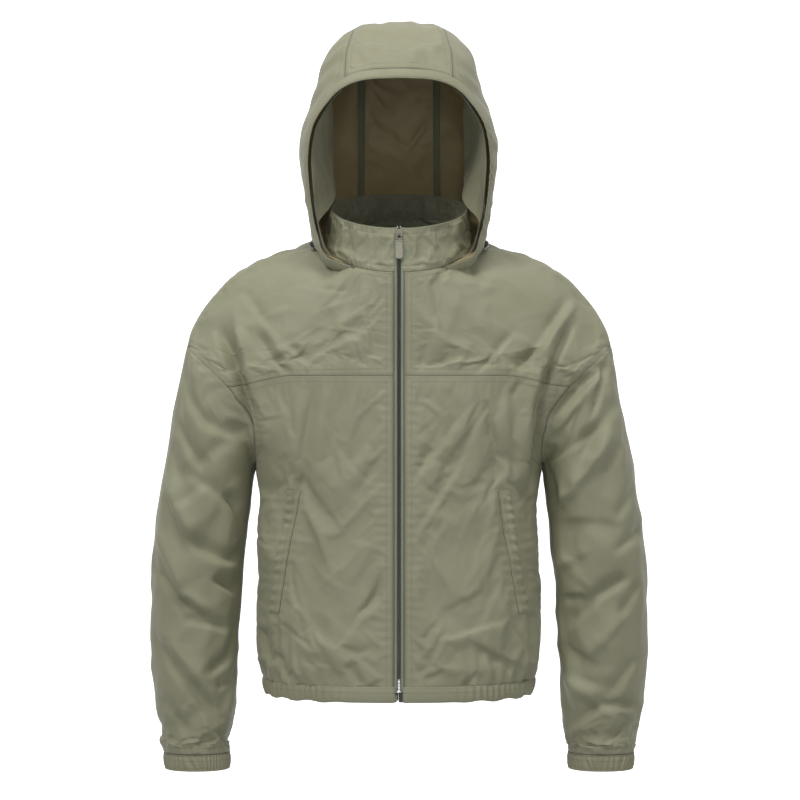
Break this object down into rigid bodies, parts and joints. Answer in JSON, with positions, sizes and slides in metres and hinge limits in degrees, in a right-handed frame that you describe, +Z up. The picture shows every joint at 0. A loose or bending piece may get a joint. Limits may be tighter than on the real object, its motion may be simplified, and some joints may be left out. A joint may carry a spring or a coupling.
{
  "type": "hooded jacket",
  "caption": "Light hooded protective jacket with a full-length front zip, stand collar, slanted pockets and gathered cuffs.",
  "frame": {"origin": "middle of the neck at the height of the shoulder line, where the wearer's shoulders carry the jacket", "axes": "+Z up towards the crown, -Y towards the zip at the front, +X towards the wearer's left sleeve"},
  "size_m": [0.638, 0.2588, 0.9485],
  "materials": {
    "sage_nylon": "matte woven nylon",
    "sage_trim": "matte woven nylon, doubled",
    "seam_tape": "matte tape",
    "zip_coil": "satin",
    "painted_zinc": "satin",
    "black_plastic": "satin",
    "elastic": "matte"
  },
  "bodies": {
    "jacket": {"front_left": "sage_nylon", "yoke_front_left": "sage_nylon", "collar_left": "sage_nylon", "hem_left": "sage_trim", "pocket_welt_left": "sage_trim", "pocket_bag_left": "sage_trim", "zip_tape_left": "seam_tape", "zip_chain_left": "zip_coil", "zip_top_stop_left": "painted_zinc", "cord_lock_left": "painted_zinc", "front_right": "sage_nylon", "yoke_front_right": "sage_nylon", "collar_right": "sage_nylon", "hem_right": "sage_trim", "pocket_welt_right": "sage_trim", "pocket_bag_right": "sage_trim", "zip_tape_right": "seam_tape", "zip_chain_right": "zip_coil", "zip_top_stop_right": "painted_zinc", "cord_lock_right": "painted_zinc", "yoke_back": "sage_nylon", "back_panel": "sage_nylon", "collar_back": "sage_nylon", "hem_back": "sage_trim", "neck_tape": "seam_tape", "hang_loop": "seam_tape", "hem_elastic": "elastic", "zip_box": "black_plastic", "zip_pin": "black_plastic"},
    "hood": {"hood_left": "sage_nylon", "hood_tape_left": "seam_tape", "hood_right": "sage_nylon", "hood_tape_right": "seam_tape", "hood_centre": "sage_nylon", "hood_edge": "sage_trim"},
    "lock_button_left": {"lock_button_left": "black_plastic"},
    "lock_button_right": {"lock_button_right": "black_plastic"},
    "zip_slider": {"zip_slider": "painted_zinc"},
    "zip_pull": {"zip_link": "painted_zinc", "zip_tab": "painted_zinc"},
    "sleeve_left": {"sleeve_left": "sage_nylon", "cuff_left": "sage_trim", "cuff_elastic_left": "elastic"},
    "sleeve_right": {"sleeve_right": "sage_nylon", "cuff_right": "sage_trim", "cuff_elastic_right": "elastic"}
  },
  "joints": [
    {"name": "hood_tilt", "type": "hinge", "parent": "jacket", "child": "hood", "pos_m": [0, 0.0755, 0.0535], "axis": [-1, 0, 0], "range_deg": [0, 60]},
    {"name": "lock_left_press", "type": "slide", "parent": "jacket", "child": "lock_button_left", "axis": [0, 1, 0], "range_m": [0, 0.003], "stiffness_N_per_m": 150},
    {"name": "lock_right_press", "type": "slide", "parent": "jacket", "child": "lock_button_right", "axis": [0, 1, 0], "range_m": [0, 0.003], "stiffness_N_per_m": 150},
    {"name": "zip_slide", "type": "slide", "parent": "jacket", "child": "zip_slider", "axis": [0, -0.055, -0.9985], "range_m": [0, 0.5563]},
    {"name": "pull_flip", "type": "hinge", "parent": "zip_slider", "child": "zip_pull", "pos_m": [0, -0.1037, 0.03106], "axis": [-1, 0, 0], "range_deg": [0, 150]},
    {"name": "sleeve_left_lift", "type": "hinge", "parent": "jacket", "child": "sleeve_left", "pos_m": [0.27, 0, -0.104], "axis": [0, -1, 0], "range_deg": [0, 60]},
    {"name": "sleeve_right_lift", "type": "hinge", "parent": "jacket", "child": "sleeve_right", "pos_m": [-0.27, 0, -0.104], "axis": [0, 1, 0], "range_deg": [0, 60]}
  ]
}
